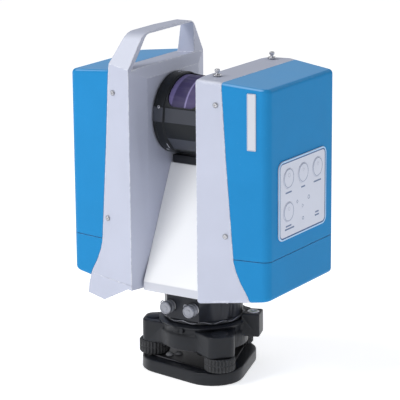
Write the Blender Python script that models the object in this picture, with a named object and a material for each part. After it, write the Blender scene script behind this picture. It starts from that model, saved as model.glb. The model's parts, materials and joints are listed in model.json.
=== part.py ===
"""Terrestrial laser scanner on a levelling tribrach.

Metres, +Z up. The origin is on the azimuth axis, at the underside of the tribrach. +X points to the
pillar that carries the keypad, and -Y to the side with the connectors. Every piece is its own object.
"""

import math

import bmesh
import bpy
from mathutils import Matrix, Vector

MM = 0.001
GAP = 0.3 * MM  # kept between neighbouring pieces

# Pillars
OUTER_X = {-1: 148.2 * MM, 1: 143 * MM}  # azimuth axis to the left and right covers' outer faces
INNER_EDGE_X = 49.1 * MM  # front and rear edges of a pillar's inner side
INNER_FACE_X = 43 * MM  # recessed inner face
INNER_FACE_Y = 60 * MM  # half-length of the recessed inner face
REAR_EDGE_Y = 81 * MM  # rear-inner corner, chamfered
REAR_TIP_X = 72 * MM
FRONT_CORNER_RADIUS = 12 * MM
REAR_CORNER_RADIUS = 7 * MM
PILLAR_BOTTOM = 118 * MM  # at the inner edge
PILLAR_TOP = 402.2 * MM  # at the inner edge
FRONT_LINE = ((49.1 * MM, -92.5 * MM), (143 * MM, -79.7 * MM))  # front face, x and y
REAR_LINE = ((72 * MM, 97 * MM), (143 * MM, 83 * MM))
TOP_LINE = ((49.1 * MM, PILLAR_TOP), (143 * MM, 393.8 * MM))  # top face, x and z
BOTTOM_LINE = ((49.1 * MM, PILLAR_BOTTOM), (143 * MM, 130.5 * MM))
FACET_LOW = 388 * MM  # where the slanted facet over the inner face ends
WALL = 3.5 * MM
EDGE_ROUND = 5 * MM
COVER_SEAM = (180.4 * MM, 181.2 * MM)  # the slit between the upper and lower covers
COVER_EDGE = (  # x and z of the line where a silver frame ends and its blue covers start, top to bottom
    (81.5 * MM, 410 * MM),
    (82.5 * MM, 398 * MM),
    (88 * MM, 305 * MM),
    (97.5 * MM, 177 * MM),
    (101 * MM, 165 * MM),
    (107 * MM, 151 * MM),
    (116 * MM, 135.5 * MM),
    (124 * MM, 115 * MM),
)
BEYOND = 200 * MM  # further from the axis than any piece reaches
SCREW_HEAD_RADIUS = 3 * MM
COVER_SCREWS = {"upper": (75 * MM, 371.5 * MM), "lower": (87 * MM, 209 * MM)}  # x and z
THUMB_SCREWS = {"front": (61 * MM, -62 * MM), "rear": (60 * MM, 71 * MM)}  # x and y
LABEL_X = (116 * MM, 127.5 * MM)
LABEL_Z = (319 * MM, 389 * MM)
LABEL_THICK = 0.6 * MM

# Toes under the left pillar
TOE_ROOT = (-50 * MM, 126.5 * MM)  # x and z
TOE_HEEL = (-119 * MM, 132 * MM)
TOE_TIP = (-98 * MM, 98.5 * MM)
TOE_OUTER = (-126 * MM, 103.5 * MM)
TOE_LEAN = 2.8 * MM  # how far the tip lies inside the pillar's face
TOE_BACK_Y = 58 * MM  # where the slanted back of the toe meets its tip's height
TOE_SINK = 0.4 * MM  # how far its faces lie inside the pillar's

# Handle, in the plane of the left pillar
HANDLE_TOP = 445.3 * MM
HANDLE_BAND = 3.3 * MM
HANDLE_FRONT = (-82 * MM, -91 * MM)  # its outer side, where it meets the pillar's top
HANDLE_REAR = (-74 * MM, 81 * MM)
HANDLE_TAPER = 6.5 * MM  # how far the outer side leans in at the crest

# Pedestal between the pillars
PEDESTAL_X = INNER_FACE_X - GAP
PEDESTAL_BOTTOM = 117 * MM
PEDESTAL_SILL = 129 * MM  # top of its upright lower face
PEDESTAL_TOP = 271.5 * MM
PEDESTAL_FOOT_Y = 75 * MM
PEDESTAL_TOP_Y = 8 * MM

# Rotor
ROTOR_Z = 336 * MM
RIM_RADIUS = 52.2 * MM
DRUM_RADIUS = 49.5 * MM
RIM_X = 41.4 * MM
DRUM_X = 25 * MM
DRUM_WALL = 4.5 * MM
DRUM_INSIDE_X = 34 * MM
SHAFT_RADIUS = 10 * MM
SHAFT_BORE = 5 * MM
SHAFT_END_X = 84 * MM
BEARING_RADIUS = 16 * MM
BEARING_END_X = 54 * MM
MAGNET_X = (-78 * MM, -58 * MM)
STATOR_X = (-80 * MM, -56 * MM)
ENCODER_RADIUS = 34 * MM
ENCODER_X = (62 * MM, 64 * MM)
WINDOW_TILT = math.radians(68)  # window's middle, up from the forward horizontal
WINDOW_X = 24 * MM
WINDOW_CHORD = 38 * MM
WINDOW_CORNER = 12 * MM
ROTOR_STEPS = 40

# Instrument base and tribrach
BASE_RADIUS = 50.5 * MM
BASE_BOTTOM = 78.3 * MM
BASE_TOP = 116.2 * MM
PANEL_Y = 50 * MM
SKIRT_RADIUS = 51.5 * MM
SKIRT_WAVES = 16
SKIRT_DEPTH = 0.7 * MM
BASE_WALL = 4 * MM
CONNECTOR_X = {"left": -18.3 * MM, "right": 16.3 * MM}
CONNECTOR_Z = 94.5 * MM
CONNECTOR_RADIUS = 8.4 * MM
CAP_REACH = 14.2 * MM  # from the panel to a cap's face
AZIMUTH_SHAFT = 12 * MM
AZIMUTH_BEARING_Z = (90 * MM, 104 * MM)
AZIMUTH_DISC_Z = 115 * MM  # underside of the hub's disc
RING_RADIUS = 58 * MM
TRIBRACH_TOP = 72.8 * MM
TRIBRACH_SHOULDER = 58 * MM
TRIBRACH_BOTTOM = 40 * MM
DRUM_OUTER = 57 * MM  # the tribrach's drum
GROOVE_RADIUS = 54 * MM
DRUM_INNER = 34 * MM
SCREW_CIRCLE = 66 * MM  # azimuth axis to each foot screw
SCREW_ANGLES = {"left": 199.4, "front": 319.4, "right": 79.4}
EAR_REACH = 13.5 * MM  # each screw housing beyond its screw's centre
EAR_WIDTH = 31 * MM  # at its outer end
EAR_ROOT = 31 * MM  # half its width where it leaves the drum
BOSS_RADIUS = 11 * MM
KNOB_RADIUS = 20 * MM
KNOB_BOTTOM = 19.4 * MM
KNOB_TOP = 35.4 * MM
EAR_BOTTOM = 36.6 * MM
EAR_TOP = 65.6 * MM
SPINDLE_RADIUS = 4 * MM
BASE_PLATE = 16.5 * MM
BASE_PLATE_CORNERS = {  # each corner's centre from the axis, and its radius
    "left": (43 * MM, 38.5 * MM),
    "front": (37 * MM, 40 * MM),
    "right": (43 * MM, 39 * MM),
}
SPRING_PLATE_CORNERS = dict.fromkeys(SCREW_ANGLES, (49 * MM, 20 * MM))
TRIPOD_THREAD = 7.94 * MM  # radius of the 5/8 inch tripod thread
BUSH_RADIUS = 14 * MM
LEVEL_ANGLE = 19.4
LEVEL_REACH = 65 * MM
LEVEL_RADIUS = 6.2 * MM
LEVEL_TOP = 80.4 * MM
LEVER_ANGLE = 139.4
LEVER_Z = 51 * MM

# Keypad, on the right pillar
PANEL_CENTRE = (2.1 * MM, 251.2 * MM)
PANEL_SIZE = (118 * MM, 99.6 * MM)
PANEL_THICK = 1.7 * MM
KEY_RADIUS = 12.3 * MM
KEY_CENTRES = {
    "power": (-33.2 * MM, 278 * MM),
    "start": (2.7 * MM, 278 * MM),
    "select": (38.6 * MM, 278 * MM),
    "back": (-33.2 * MM, 235.7 * MM),
}

FINISHES = {  # colour, metallic, roughness
    "silver_paint": ((0.63, 0.66, 0.78), 0.2, 0.45),
    "blue_paint": ((0.03, 0.29, 0.62), 0.0, 0.42),
    "black_paint": ((0.02, 0.02, 0.023), 0.0, 0.4),
    "black_plastic": ((0.03, 0.03, 0.03), 0.0, 0.8),
    "panel_film": ((0.58, 0.62, 0.75), 0.0, 0.5),
    "white_film": ((0.85, 0.85, 0.9), 0.0, 0.5),
    "steel": ((0.6, 0.6, 0.62), 1.0, 0.3),
    "chrome": ((0.75, 0.75, 0.78), 1.0, 0.15),
    "aluminium": ((0.7, 0.7, 0.72), 1.0, 0.35),
    "brass": ((0.7, 0.5, 0.2), 1.0, 0.35),
    "glass": ((0.06, 0.03, 0.12), 0.0, 0.05),
    "mirror": ((0.9, 0.9, 0.92), 1.0, 0.02),
    "circuit": ((0.02, 0.2, 0.08), 0.0, 0.5),
    "level_glass": ((0.6, 0.7, 0.45), 0.0, 0.1),
}


# ---- Outlines ----


def arc(centre, radius, start, end, steps):
    """Points on a circle from one angle to another, in degrees, both ends included."""
    angles = [math.radians(start + (end - start) * i / steps) for i in range(steps + 1)]
    return [
        (centre[0] + radius * math.cos(a), centre[1] + radius * math.sin(a)) for a in angles
    ]


def filleted(corners, steps=4):
    """An outline from (x, y, radius) corners, each rounded to its radius."""
    outline = []
    for i, (x, y, radius) in enumerate(corners):
        corner = Vector((x, y))
        if radius == 0:
            outline.append((x, y))
            continue
        before = (Vector(corners[i - 1][:2]) - corner).normalized()
        after = (Vector(corners[(i + 1) % len(corners)][:2]) - corner).normalized()
        half = before.angle(after) / 2
        centre = corner + (before + after).normalized() * (radius / math.sin(half))
        first = corner + before * (radius / math.tan(half)) - centre
        last = corner + after * (radius / math.tan(half)) - centre
        sweep = first.angle_signed(last)
        for k in range(steps + 1):
            turn = Matrix.Rotation(-sweep * k / steps, 2)
            outline.append(tuple(centre + turn @ first))
    return outline


def rounded_rectangle(centre, size, radius, steps=4):
    x, y = centre
    w, h = size[0] / 2, size[1] / 2
    corners = [(x - w, y - h), (x + w, y - h), (x + w, y + h), (x - w, y + h)]
    return filleted([(a, b, radius) for a, b in corners], steps)


def inset(outline, distance):
    """A convex outline moved inwards by a distance."""
    points = [Vector(p) for p in outline]
    area = sum(a.x * b.y - b.x * a.y for a, b in zip(points, points[1:] + points[:1]))
    side = 1 if area > 0 else -1
    moved = []
    for i, point in enumerate(points):
        before = (point - points[i - 1]).normalized()
        after = (points[(i + 1) % len(points)] - point).normalized()
        normals = [Vector((-d.y, d.x)) * side for d in (before, after)]
        mean = (normals[0] + normals[1]).normalized()
        moved.append(tuple(point + mean * distance / mean.dot(normals[0])))
    return moved


# ---- Closed meshes ----

AXES = {  # where an outline's two numbers and its depth go
    "x": lambda u, v, w: (w, u, v),
    "y": lambda u, v, w: (u, w, v),
    "z": lambda u, v, w: (u, v, w),
}


def prism(outline, low, high, axis="z"):
    """An outline extruded along an axis. low and high are depths, or functions of the outline's point."""
    place = AXES[axis]
    shape = bmesh.new()
    ends = []
    for depth in (low, high):
        at = depth if callable(depth) else lambda u, v, d=depth: d
        ends.append([shape.verts.new(place(u, v, at(u, v))) for u, v in outline])
    shape.faces.new(ends[0])
    shape.faces.new(ends[1])
    for i in range(len(outline)):
        shape.faces.new((ends[0][i - 1], ends[0][i], ends[1][i], ends[1][i - 1]))
    bmesh.ops.recalc_face_normals(shape, faces=shape.faces)
    return shape


def block(low, high, edge=0.0, segments=2):
    """A box between two corners, with its edges rounded."""
    outline = [(low[0], low[1]), (high[0], low[1]), (high[0], high[1]), (low[0], high[1])]
    shape = prism(outline, low[2], high[2])
    if edge:
        bmesh.ops.bevel(
            shape, geom=shape.edges[:], offset=edge, segments=segments, affect="EDGES", profile=0.5
        )
    return shape


def turned(profile, steps=20, axis="z", centre=(0, 0)):
    """A closed (radius, depth) profile turned about an axis. A radius of 0 is a point on the axis."""
    place = AXES[axis]
    shape = bmesh.new()
    rings = []
    for radius, depth in profile:
        count = 1 if radius == 0 else steps
        angles = [2 * math.pi * i / count for i in range(count)]
        rings.append(
            [
                shape.verts.new(
                    place(
                        centre[0] + radius * math.cos(a), centre[1] + radius * math.sin(a), depth
                    )
                )
                for a in angles
            ]
        )
    for first, second in zip(rings, rings[1:] + rings[:1]):
        for i in range(steps):
            corners = [first[i % len(first)], first[(i + 1) % len(first)]]
            corners += [second[(i + 1) % len(second)], second[i % len(second)]]
            corners = list(dict.fromkeys(corners))
            if len(corners) > 2:
                shape.faces.new(corners)
    bmesh.ops.recalc_face_normals(shape, faces=shape.faces)
    return shape


def cylinder(radius, low, high, axis="z", centre=(0, 0), steps=20):
    return turned([(0, low), (radius, low), (radius, high), (0, high)], steps, axis, centre)


def ring(inner, outer, low, high, axis="z", centre=(0, 0), steps=20):
    return turned([(inner, low), (outer, low), (outer, high), (inner, high)], steps, axis, centre)


def sliced(shape, point, normal):
    """The shape without what lies on the normal's side of a plane, closed again."""
    bmesh.ops.bisect_plane(
        shape,
        geom=shape.verts[:] + shape.edges[:] + shape.faces[:],
        plane_co=point,
        plane_no=normal,
        clear_outer=True,
    )
    rim = [e for e in shape.edges if e.is_boundary]
    bmesh.ops.holes_fill(shape, edges=rim, sides=0)
    bmesh.ops.recalc_face_normals(shape, faces=shape.faces)
    return shape


# ---- Objects ----


def new_object(name, shape, pivot):
    bmesh.ops.translate(shape, verts=shape.verts, vec=-Vector(pivot))
    mesh = bpy.data.meshes.new(name)
    shape.to_mesh(mesh)
    shape.free()
    mesh.shade_smooth()
    mesh.set_sharp_from_angle(angle=math.radians(35))
    piece = bpy.data.objects.new(name, mesh)
    piece.location = pivot
    bpy.context.scene.collection.objects.link(piece)
    return piece


def solid(name, shape, finish, pivot=(0, 0, 0)):
    """One piece of the instrument, with its own material."""
    piece = new_object(name, shape, pivot)
    colour, metallic, roughness = FINISHES[finish]
    material = bpy.data.materials.new(name)
    material.use_nodes = True
    shader = material.node_tree.nodes["Principled BSDF"]
    shader.inputs["Base Color"].default_value = (*colour, 1)
    shader.inputs["Metallic"].default_value = metallic
    shader.inputs["Roughness"].default_value = roughness
    piece.data.materials.append(material)
    return piece


def combine(piece, operation, *shapes):
    """Unites each shape with the piece, or cuts it away, or keeps what they share."""
    for shape in shapes:
        tool = new_object(f"{piece.name}_tool", shape, (0, 0, 0))
        tool.hide_render = True
        tool.display_type = "WIRE"
        change = piece.modifiers.new(operation.title(), "BOOLEAN")
        change.operation = operation
        change.object = tool
    return piece


# ---- Pillars ----


def pillar_plan(side):
    """A pillar seen from above. side is 1 for the right pillar and -1 for the left."""
    outer = OUTER_X[side]
    corners = [
        (INNER_EDGE_X, front_y(INNER_EDGE_X), 0),
        (outer, front_y(outer), FRONT_CORNER_RADIUS),
        (outer, rear_y(outer), REAR_CORNER_RADIUS),
        (REAR_TIP_X, rear_y(REAR_TIP_X), 0),
        (INNER_EDGE_X, REAR_EDGE_Y, 0),
        (INNER_FACE_X, INNER_FACE_Y, 0),
        (INNER_FACE_X, -INNER_FACE_Y, 0),
    ]
    return [(side * x, y) for x, y in filleted(corners, 5)]


def along(line, x):
    """The second number of a point on a straight line, from its distance to the azimuth axis."""
    (x0, y0), (x1, y1) = line
    return y0 + (abs(x) - x0) * (y1 - y0) / (x1 - x0)


def front_y(x):
    return along(FRONT_LINE, x)


def rear_y(x):
    return along(REAR_LINE, x)


def top_z(x):
    return along(TOP_LINE, x)


def bottom_z(x):
    return along(BOTTOM_LINE, x)


def pillar_body(side, thickness):
    """A pillar's outer form, or its hollow when a wall thickness is taken off."""
    plan = inset(pillar_plan(side), thickness) if thickness else pillar_plan(side)
    shape = prism(
        plan,
        lambda x, y: bottom_z(x) + thickness,
        lambda x, y: top_z(x) - thickness,
    )
    if not thickness:
        ends = [f for f in shape.faces if abs(f.normal.z) > 0.9]
        rims = {e for f in ends for e in f.edges}
        bmesh.ops.bevel(
            shape, geom=list(rims), offset=EDGE_ROUND, segments=4, affect="EDGES", profile=0.5
        )
    run = INNER_EDGE_X - INNER_FACE_X
    rise = PILLAR_TOP - FACET_LOW
    outward = Vector((-side * rise, 0, run)).normalized()
    foot = Vector((side * INNER_FACE_X, 0, FACET_LOW)) - outward * thickness
    return sliced(shape, foot, outward)


def cover_region(side, shrink):
    """The space outside the line where the silver frame ends and the blue covers start."""
    outline = [(side * (x + shrink), z) for x, z in COVER_EDGE]
    top, bottom = COVER_EDGE[0][1], COVER_EDGE[-1][1]
    outline += [(side * BEYOND, bottom), (side * BEYOND, top)]
    return prism(outline, -BEYOND, BEYOND, "y")


def band_region(low, high):
    """Everything between two heights."""
    return block((-BEYOND, -BEYOND, low), (BEYOND, BEYOND, high))


def bearing_bore(side):
    """The hole in a pillar's inner wall, on the rotor's axis."""
    ends = sorted((side * 35 * MM, side * 60 * MM))
    return cylinder(BEARING_RADIUS, *ends, "x", (0, ROTOR_Z))


def handle_outline():
    """The handle's arch from the side: its outer line, front to rear, then its inner line back."""
    crest = HANDLE_TOP
    outer = filleted(
        [
            (-92.3 * MM, 392 * MM, 0),
            (-92.3 * MM, 402.5 * MM, 4 * MM),
            (-57 * MM, crest - 1.5 * MM, 26 * MM),
            (0, crest, 60 * MM),
            (57.5 * MM, crest - 1 * MM, 15 * MM),
            (81 * MM, 402 * MM, 6 * MM),
            (81 * MM, 392 * MM, 0),
        ],
        4,
    )
    under = crest - HANDLE_BAND
    inner = filleted(
        [
            (60 * MM, 392 * MM, 0),
            (59.5 * MM, under, 6 * MM),
            (-50 * MM, under - 0.5 * MM, 13 * MM),
            (-84.5 * MM, 400.5 * MM, 0),
            (-86.5 * MM, 392 * MM, 0),
        ],
        3,
    )
    return outer + inner


def handle():
    """The carrying handle, which narrows towards its crest and its rear."""
    shape = prism(handle_outline(), HANDLE_FRONT[0], -INNER_EDGE_X - 0.2 * MM, "x")
    rearwards = Vector((*HANDLE_REAR, PILLAR_TOP)) - Vector((*HANDLE_FRONT, PILLAR_TOP))
    upwards = Vector((HANDLE_TAPER, 0, HANDLE_TOP - PILLAR_TOP))
    shape = sliced(shape, (*HANDLE_FRONT, PILLAR_TOP), rearwards.cross(upwards) * -1)
    forwards = Vector((front_y(0) - front_y(1), -1, 0))
    return sliced(shape, (-INNER_EDGE_X, front_y(INNER_EDGE_X) + GAP, 0), forwards)


def toe_facet(shape, end):
    """The toe cut back to the slanted plane that carries on from the pillar's front or rear face."""
    face, start = (front_y, INNER_EDGE_X) if end < 0 else (rear_y, REAR_TIP_X)
    heel_x, tip_x = TOE_HEEL[0], TOE_TIP[0]
    inner = Vector((-start, face(start), bottom_z(start)))
    outer = Vector((heel_x, face(heel_x), bottom_z(heel_x)))
    tip = Vector((tip_x, face(tip_x) - end * TOE_LEAN, TOE_TIP[1]))
    outward = (outer - inner).cross(tip - inner).normalized()
    if outward.y * end < 0:
        outward.negate()
    return sliced(shape, inner - outward * TOE_SINK, outward)


def toe(end):
    """The pointed foot under the left pillar. end is -1 at the front and 1 at the rear."""
    outline = [TOE_ROOT, (TOE_ROOT[0], TOE_ROOT[1] - 3.1 * MM), TOE_TIP, TOE_OUTER, TOE_HEEL]
    depths = sorted((end * 45 * MM, end * 105 * MM))
    shape = toe_facet(prism(outline, *depths, "y"), end)
    if end > 0:
        run = REAR_TIP_X - INNER_EDGE_X
        chamfer = Vector((rear_y(REAR_TIP_X) - REAR_EDGE_Y, run, 0)).normalized()
        edge = Vector((-INNER_EDGE_X, REAR_EDGE_Y, 0))
        shape = sliced(shape, edge - chamfer * TOE_SINK, chamfer)
    back = Vector((0, -end, -0.8)).normalized()
    return sliced(shape, (TOE_TIP[0], end * TOE_BACK_Y, TOE_TIP[1]), back)


def frame(name, side):
    """A pillar's silver frame: inner wall, front, rear and top, open towards the cover."""
    piece = solid(name, pillar_body(side, 0), "silver_paint")
    if side < 0:
        combine(piece, "UNION", handle(), toe(-1), toe(1))
    combine(piece, "DIFFERENCE", pillar_body(side, WALL), cover_region(side, -GAP / 2))
    return combine(piece, "DIFFERENCE", bearing_bore(side))


def cover(name, side, low, high):
    """A pillar's blue outer shell, between two heights."""
    piece = solid(name, pillar_body(side, 0), "blue_paint")
    combine(piece, "INTERSECT", cover_region(side, GAP / 2), band_region(low, high))
    return combine(piece, "DIFFERENCE", pillar_body(side, WALL))


def cover_screws():
    """The screws that hold the frames' front plates."""
    stem, head = SCREW_HEAD_RADIUS - 1.4 * MM, SCREW_HEAD_RADIUS
    profile = [(0, 0), (stem, 0), (stem, 0.4 * MM), (head, 0.4 * MM)]
    profile += [(head, 1.1 * MM), (head - 0.8 * MM, 1.6 * MM), (0, 1.6 * MM)]
    slope = math.atan(front_y(1) - front_y(0))
    for side, word in ((-1, "left"), (1, "right")):
        outward = Vector((side * math.sin(slope), -math.cos(slope), 0))
        turn = outward.to_track_quat("Z", "Y").to_matrix().to_4x4()
        for level, (x, z) in COVER_SCREWS.items():
            foot = Vector((side * x, front_y(x), z)) + outward * 0.2 * MM
            shape = turned(profile, 12)
            shape.transform(Matrix.Translation(foot) @ turn)
            solid(f"cover_screw_{word}_{level}", shape, "steel")


def pillars():
    frame("left_frame", -1)
    frame("right_frame", 1)
    for word, side in (("left", -1), ("right", 1)):
        cover(f"{word}_cover", side, COVER_SEAM[1], 420 * MM)
        cover(f"{word}_lower_cover", side, 110 * MM, COVER_SEAM[0])
    cover_screws()


# ---- Keypad and trim ----


def keypad():
    """The keypad's film-covered plate on the right cover, with its four round keys."""
    face = OUTER_X[1] + GAP
    outline = rounded_rectangle(PANEL_CENTRE, PANEL_SIZE, 6 * MM)
    plate = solid("keypad_panel", prism(outline, face, face + PANEL_THICK, "x"), "panel_film")
    for name, centre in KEY_CENTRES.items():
        combine(
            plate,
            "DIFFERENCE",
            cylinder(KEY_RADIUS + GAP, face - MM, face + 4 * MM, "x", centre, 24),
        )
        top = face + PANEL_THICK + 0.6 * MM
        profile = [(0, face + 1.1 * MM), (KEY_RADIUS, face + 1.1 * MM)]
        profile += [(KEY_RADIUS, top - 0.4 * MM), (KEY_RADIUS - 0.8 * MM, top), (0, top)]
        shape = turned(profile, 24, "x", centre)
        solid(f"key_{name}", shape, "panel_film", (face, *centre))


def label_plate():
    """The blank rating plate on the front of the right cover."""
    back = [(x, front_y(x) - GAP) for x in LABEL_X]
    front = [(x, y - LABEL_THICK) for x, y in reversed(back)]
    solid("label_plate", prism(back + front, *LABEL_Z), "white_film")


def thumb_screws():
    """The two knurled screws on the right pillar's top, which hold an accessory."""
    for word, (x, y) in THUMB_SCREWS.items():
        foot = top_z(x - 6 * MM) + GAP
        profile = [(0, foot), (5.6 * MM, foot), (5.6 * MM, foot + 1.6 * MM)]
        profile += [(2 * MM, foot + 2.6 * MM), (2 * MM, foot + 4.6 * MM)]
        profile += [(3.3 * MM, foot + 4.9 * MM), (3.3 * MM, foot + 7.8 * MM)]
        profile += [(2.7 * MM, foot + 8.4 * MM), (0, foot + 8.4 * MM)]
        solid(f"thumb_screw_{word}", turned(profile, 14, "z", (x, y)), "steel", (x, y, foot))


# ---- Between the pillars ----


def pedestal():
    """The wedge between the pillars, and the dark baffle under the rotor."""
    half = [
        (PEDESTAL_FOOT_Y, PEDESTAL_BOTTOM, 3 * MM),
        (PEDESTAL_FOOT_Y, PEDESTAL_SILL, 12 * MM),
        (PEDESTAL_TOP_Y, PEDESTAL_TOP, 2 * MM),
    ]
    outline = filleted(half + [(-y, z, radius) for y, z, radius in reversed(half)], 4)
    body = solid("pedestal", prism(outline, -PEDESTAL_X, PEDESTAL_X, "x"), "silver_paint")
    inner = [
        (PEDESTAL_FOOT_Y - 12 * MM, PEDESTAL_BOTTOM + 6 * MM),
        (PEDESTAL_TOP_Y + 14 * MM, PEDESTAL_BOTTOM + 92 * MM),
    ]
    hollow = inner + [(-y, z) for y, z in reversed(inner)]
    combine(body, "DIFFERENCE", prism(hollow, -50 * MM, 50 * MM, "x"))
    low = PEDESTAL_TOP + GAP
    high = ROTOR_Z - RIM_RADIUS - 1 * MM
    baffle = block((-38 * MM, -12 * MM, low), (38 * MM, 12 * MM, high), 1 * MM, 1)
    solid("rotor_baffle", baffle, "black_paint")


def window_frame(width, chord, low, high):
    """A rounded rectangle's prism that runs out from the rotor's axis along the window's middle."""
    shape = prism(rounded_rectangle((0, 0), (2 * width, 2 * chord), WINDOW_CORNER, 5), low, high)
    outward = Vector((0, -math.cos(WINDOW_TILT), math.sin(WINDOW_TILT)))
    along = Vector((1, 0, 0))
    across = outward.cross(along)
    turn = Matrix((along, across, outward)).transposed().to_4x4()
    shape.transform(Matrix.Translation((0, 0, ROTOR_Z)) @ turn)
    return shape


def rotor_form():
    """The drum's outside: two rims, with a slimmer drum between them that has two flats."""
    centre = (0, ROTOR_Z)
    slope = 1 * MM
    profile = [
        (0, -RIM_X),
        (RIM_RADIUS - slope, -RIM_X),
        (RIM_RADIUS, -RIM_X + slope),
        (RIM_RADIUS, -DRUM_X - slope),
        (DRUM_RADIUS, -DRUM_X),
        (DRUM_RADIUS, DRUM_X),
        (RIM_RADIUS, DRUM_X + slope),
        (RIM_RADIUS, RIM_X - slope),
        (RIM_RADIUS - slope, RIM_X),
        (0, RIM_X),
    ]
    return turned(profile, ROTOR_STEPS, "x", centre)


def rotor():
    """The spinning drum with its window, mirror, shafts, motor magnet and encoder disc."""
    centre = (0, ROTOR_Z)
    pivot = (0, 0, ROTOR_Z)
    inner = DRUM_RADIUS - DRUM_WALL
    drum = solid("rotor_drum", rotor_form(), "black_paint", pivot)
    combine(
        drum,
        "DIFFERENCE",
        cylinder(inner, -DRUM_INSIDE_X, DRUM_INSIDE_X, "x", centre, ROTOR_STEPS),
        window_frame(WINDOW_X, WINDOW_CHORD, 20 * MM, 60 * MM),
        cylinder(SHAFT_BORE, -50 * MM, -30 * MM, "x", centre, 20),
    )
    pane = ring(inner + 1 * MM, DRUM_RADIUS - 0.8 * MM, -30 * MM, 30 * MM, "x", centre, ROTOR_STEPS)
    window = solid("rotor_window", pane, "glass", pivot)
    frame_size = (WINDOW_X - GAP, WINDOW_CHORD - GAP)
    combine(window, "INTERSECT", window_frame(*frame_size, 10 * MM, 60 * MM))
    mirror = cylinder(inner - 1.2 * MM, -33 * MM, 33.5 * MM, "x", centre, 24)
    towards = Vector((-1, -math.cos(WINDOW_TILT), math.sin(WINDOW_TILT))).normalized()
    solid("scan_mirror", sliced(mirror, pivot, towards), "mirror", pivot)
    for side, word in ((-1, "left"), (1, "right")):
        ends = sorted((side * (RIM_X + GAP), side * SHAFT_END_X))
        tube = ring(SHAFT_BORE, SHAFT_RADIUS, *ends, "x", centre, 16)
        solid(f"rotor_shaft_{word}", tube, "steel", pivot)
    magnet = ring(SHAFT_RADIUS + GAP, 20 * MM, *MAGNET_X, "x", centre)
    solid("rotor_magnet_ring", magnet, "steel", pivot)
    disc = ring(SHAFT_RADIUS + GAP, ENCODER_RADIUS, *ENCODER_X, "x", centre)
    solid("encoder_disc", disc, "glass", pivot)


def rotor_fixtures():
    """The bearings, motor stator and encoder head that the pillars hold around the rotor's shafts."""
    centre = (0, ROTOR_Z)
    for side, word in ((-1, "left"), (1, "right")):
        ends = sorted((side * (INNER_FACE_X + 0.5 * MM), side * BEARING_END_X))
        bearing = ring(SHAFT_RADIUS + GAP, BEARING_RADIUS - GAP, *ends, "x", centre)
        solid(f"rotor_bearing_{word}", bearing, "steel")
    stator = ring(21 * MM, 34 * MM, *STATOR_X, "x", centre)
    solid("rotor_motor_stator", stator, "steel")
    head = block((57 * MM, 24 * MM, 328 * MM), (69 * MM, 46 * MM, 344 * MM))
    piece = solid("encoder_read_head", head, "black_paint")
    slot = cylinder(ENCODER_RADIUS + 2 * MM, ENCODER_X[0] - 1.5 * MM, ENCODER_X[1] + 1.5 * MM, "x", centre)
    combine(piece, "DIFFERENCE", slot)


def electronics():
    """The measuring unit in the left pillar, and the power and recording units in the right one."""
    centre = (0, ROTOR_Z)
    body = [(0, -134 * MM), (22 * MM, -134 * MM), (22 * MM, -108 * MM), (14 * MM, -104 * MM)]
    body += [(14 * MM, -101 * MM), (0, -101 * MM)]
    solid("laser_module", turned(body, 16, "x", centre), "aluminium")
    lens = [(0, -96 * MM), (12 * MM, -93 * MM), (12 * MM, -91 * MM), (0, -88 * MM)]
    solid("receiver_lens", turned(lens, 16, "x", centre), "glass")
    board = block((-102 * MM, -62 * MM, 152 * MM), (-100 * MM, 62 * MM, 270 * MM))
    solid("main_board", board, "circuit")
    pack = block((88 * MM, -60 * MM, 140 * MM), (134 * MM, 60 * MM, 224 * MM), 3 * MM)
    solid("battery_pack", pack, "black_plastic")
    drive = block((104 * MM, -50 * MM, 300 * MM), (114 * MM, 50 * MM, 372 * MM), 1 * MM, 1)
    solid("storage_drive", drive, "aluminium")
    back = block((126 * MM, -55 * MM, 240 * MM), (128 * MM, 58 * MM, 296 * MM))
    solid("keypad_board", back, "circuit")


# ---- Instrument base ----


def base_outline(shrink=0.0):
    """The base from above: round, with a flat connector panel at the front."""
    radius = BASE_RADIUS - shrink
    round_part = arc((0, 0), radius, -42, 222, 30)
    panel = [(-24 * MM, -PANEL_Y + shrink), (24 * MM, -PANEL_Y + shrink)]
    return round_part + panel


def instrument_base():
    """The fixed housing under the alidade."""
    shell = solid("instrument_base", prism(base_outline(), BASE_BOTTOM, BASE_TOP), "black_paint")
    hollow = prism(base_outline(BASE_WALL), BASE_BOTTOM + BASE_WALL, BASE_TOP + 5 * MM)
    combine(shell, "DIFFERENCE", hollow)


def adapter_flange():
    """The scalloped plate that locks into the tribrach."""
    count = SKIRT_WAVES * 4
    waves = []
    for i in range(count):
        angle = 2 * math.pi * i / count
        radius = SKIRT_RADIUS + SKIRT_DEPTH * math.cos(SKIRT_WAVES * angle)
        waves.append((radius * math.cos(angle), radius * math.sin(angle)))
    plate = prism(waves, TRIBRACH_TOP + GAP, BASE_BOTTOM - GAP)
    solid("adapter_flange", plate, "black_paint")


def connectors():
    """The two sockets on the base's panel, each with a cap over it."""
    face = -PANEL_Y - GAP
    socket = [(0, face), (8 * MM, face), (8 * MM, face - 1.8 * MM), (5.6 * MM, face - 1.8 * MM)]
    socket += [(5.6 * MM, face - 7.5 * MM), (4.4 * MM, face - 7.5 * MM)]
    socket += [(4.4 * MM, face - 3.5 * MM), (0, face - 3.5 * MM)]
    rim = face - 1.8 * MM - GAP
    end = face - CAP_REACH
    cap = [(6 * MM, rim), (CONNECTOR_RADIUS, rim), (CONNECTOR_RADIUS, end + 1 * MM)]
    cap += [(CONNECTOR_RADIUS - 1 * MM, end), (0, end)]
    cap += [(0, face - 8.3 * MM), (6 * MM, face - 8.3 * MM)]
    for word, x in CONNECTOR_X.items():
        centre = (x, CONNECTOR_Z)
        solid(f"connector_{word}", turned(socket, 16, "y", centre), "steel")
        pivot = (x, face, CONNECTOR_Z)
        solid(f"connector_cap_{word}", turned(cap, 20, "y", centre), "chrome", pivot)


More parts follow.
